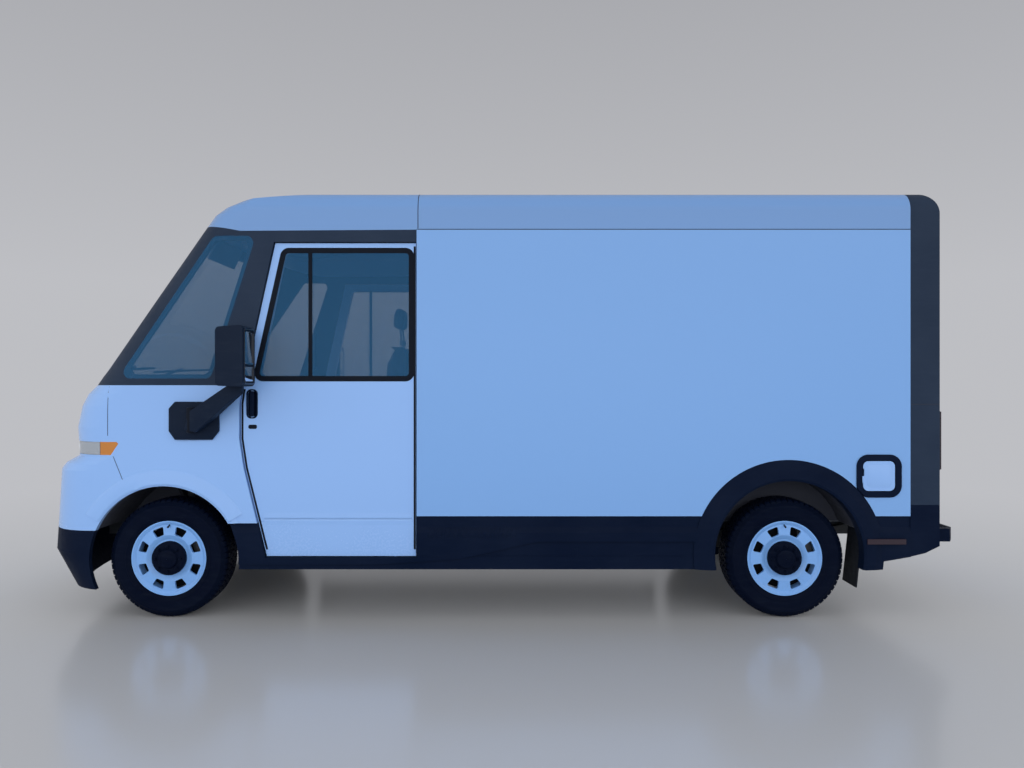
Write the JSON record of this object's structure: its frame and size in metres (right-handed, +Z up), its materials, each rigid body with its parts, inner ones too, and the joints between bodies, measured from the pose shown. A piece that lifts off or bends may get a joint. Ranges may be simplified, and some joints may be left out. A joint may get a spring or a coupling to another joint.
{
  "type": "electric delivery van",
  "caption": "Walk-in electric delivery van with a tall box load space, sliding cab doors, hinged rear doors, steered front wheels and a battery under the floor.",
  "frame": {"origin": "on the road, half way along the van on its centreline", "axes": "+X runs to the tail, +Y to the van's right side, +Z up"},
  "size_m": [5.932, 2.752, 2.697],
  "materials": {
    "body_paint": "gloss",
    "black_trim": "matt",
    "gloss_black": "gloss",
    "glass": "clear, lightly tinted",
    "lamp_clear": "clear",
    "lamp_red": "gloss",
    "chassis_steel": "satin",
    "battery_case": "satin",
    "floor_liner": "matt",
    "load_floor": "satin",
    "cast_parts": "rough",
    "interior_plastic": "grained",
    "seat_fabric": "woven",
    "rim_paint": "satin",
    "tyre": "matt",
    "flap_rubber": "matt"
  },
  "bodies": {
    "van": {"battery_pack": "battery_case", "bulkhead": "load_floor", "cab_floor": "floor_liner", "cab_roof": "body_paint", "cargo_floor": "load_floor", "cargo_roof": "body_paint", "cargo_side_left": "body_paint", "cargo_side_right": "body_paint", "charge_port": "black_trim", "chassis_rails": "chassis_steel", "crossmembers": "chassis_steel", "dashboard": "interior_plastic", "front_bumper": "black_trim", "front_fascia": "body_paint", "front_suspension": "chassis_steel", "front_wing_left": "body_paint", "front_wing_right": "body_paint", "headlamps": "lamp_clear", "lift_pads": "chassis_steel", "mirrors": "black_trim", "mudflaps": "flap_rubber", "nose_band": "gloss_black", "pillar_frame": "black_trim", "quarter_glass_left": "glass", "quarter_glass_right": "glass", "rear_axle": "cast_parts", "rear_bumper": "black_trim", "rear_frame": "black_trim", "rear_lamps": "lamp_red", "seat_backs": "seat_fabric", "seat_bases": "chassis_steel", "seat_cushions": "seat_fabric", "sill_left": "black_trim", "sill_right": "black_trim", "windscreen": "glass", "wipers": "black_trim"},
    "knuckle_left": {"knuckle_left": "cast_parts"},
    "knuckle_right": {"knuckle_right": "cast_parts"},
    "wheel_front_left": {"rim_front_left": "rim_paint", "tyre_front_left": "tyre"},
    "wheel_front_right": {"rim_front_right": "rim_paint", "tyre_front_right": "tyre"},
    "wheel_rear_left": {"rim_rear_left": "rim_paint", "tyre_rear_left": "tyre"},
    "wheel_rear_right": {"rim_rear_right": "rim_paint", "tyre_rear_right": "tyre"},
    "steering_wheel": {"steering_wheel": "interior_plastic"},
    "side_door_left": {"side_door_left": "body_paint", "side_door_glass_left": "glass"},
    "side_door_right": {"side_door_right": "body_paint", "side_door_glass_right": "glass"},
    "rear_door_left": {"rear_door_left": "body_paint"},
    "rear_door_right": {"rear_door_right": "body_paint"},
    "charge_lid": {"charge_lid": "body_paint"},
    "hood": {"hood": "body_paint"},
    "bulkhead_door": {"bulkhead_door": "load_floor"}
  },
  "joints": [
    {"name": "steer_left", "type": "hinge", "parent": "van", "child": "knuckle_left", "pos_m": [-2.035, -0.8315, 0.372], "axis": [0, 0, 1], "range_deg": [-35, 35]},
    {"name": "steer_right", "type": "hinge", "parent": "van", "child": "knuckle_right", "pos_m": [-2.035, 0.8315, 0.372], "axis": [0, 0, 1], "range_deg": [-35, 35]},
    {"name": "spin_front_left", "type": "hinge", "parent": "knuckle_left", "child": "wheel_front_left", "pos_m": [-2.035, -0.8915, 0.372], "axis": [0, -1, 0], "continuous": true},
    {"name": "spin_front_right", "type": "hinge", "parent": "knuckle_right", "child": "wheel_front_right", "pos_m": [-2.035, 0.8915, 0.372], "axis": [0, -1, 0], "continuous": true},
    {"name": "spin_rear_left", "type": "hinge", "parent": "van", "child": "wheel_rear_left", "pos_m": [1.851, -0.8915, 0.372], "axis": [0, -1, 0], "continuous": true},
    {"name": "spin_rear_right", "type": "hinge", "parent": "van", "child": "wheel_rear_right", "pos_m": [1.851, 0.8915, 0.372], "axis": [0, -1, 0], "continuous": true},
    {"name": "steering_wheel_turn", "type": "hinge", "parent": "van", "child": "steering_wheel", "pos_m": [-1.38, -0.48, 1.35], "axis": [0.866, 0, 0.5], "range_deg": [-525, 525]},
    {"name": "side_door_left_slide", "type": "slide", "parent": "van", "child": "side_door_left", "axis": [1, 0, 0], "range_m": [0, 0.85]},
    {"name": "side_door_right_slide", "type": "slide", "parent": "van", "child": "side_door_right", "axis": [1, 0, 0], "range_m": [0, 0.85]},
    {"name": "rear_door_left_hinge", "type": "hinge", "parent": "van", "child": "rear_door_left", "pos_m": [2.802, -0.98, 1.53], "axis": [0, 0, -1], "range_deg": [0, 165]},
    {"name": "rear_door_right_hinge", "type": "hinge", "parent": "van", "child": "rear_door_right", "pos_m": [2.802, 0.98, 1.53], "axis": [0, 0, 1], "range_deg": [0, 165]},
    {"name": "charge_lid_hinge", "type": "hinge", "parent": "van", "child": "charge_lid", "pos_m": [2.31, -1.066, 0.9], "axis": [0, 0, -1], "range_deg": [0, 100]},
    {"name": "hood_hinge", "type": "hinge", "parent": "van", "child": "hood", "pos_m": [-2.764, 0, 1.4], "axis": [0, 1, 0], "range_deg": [0, 60]},
    {"name": "bulkhead_door_slide", "type": "slide", "parent": "van", "child": "bulkhead_door", "axis": [0, 1, 0], "range_m": [0, 0.6]}
  ],
  "couplings": [
    {"joint": "steer_right", "follows": "steer_left", "ratio": 1},
    {"joint": "steering_wheel_turn", "follows": "steer_left", "ratio": 15}
  ]
}
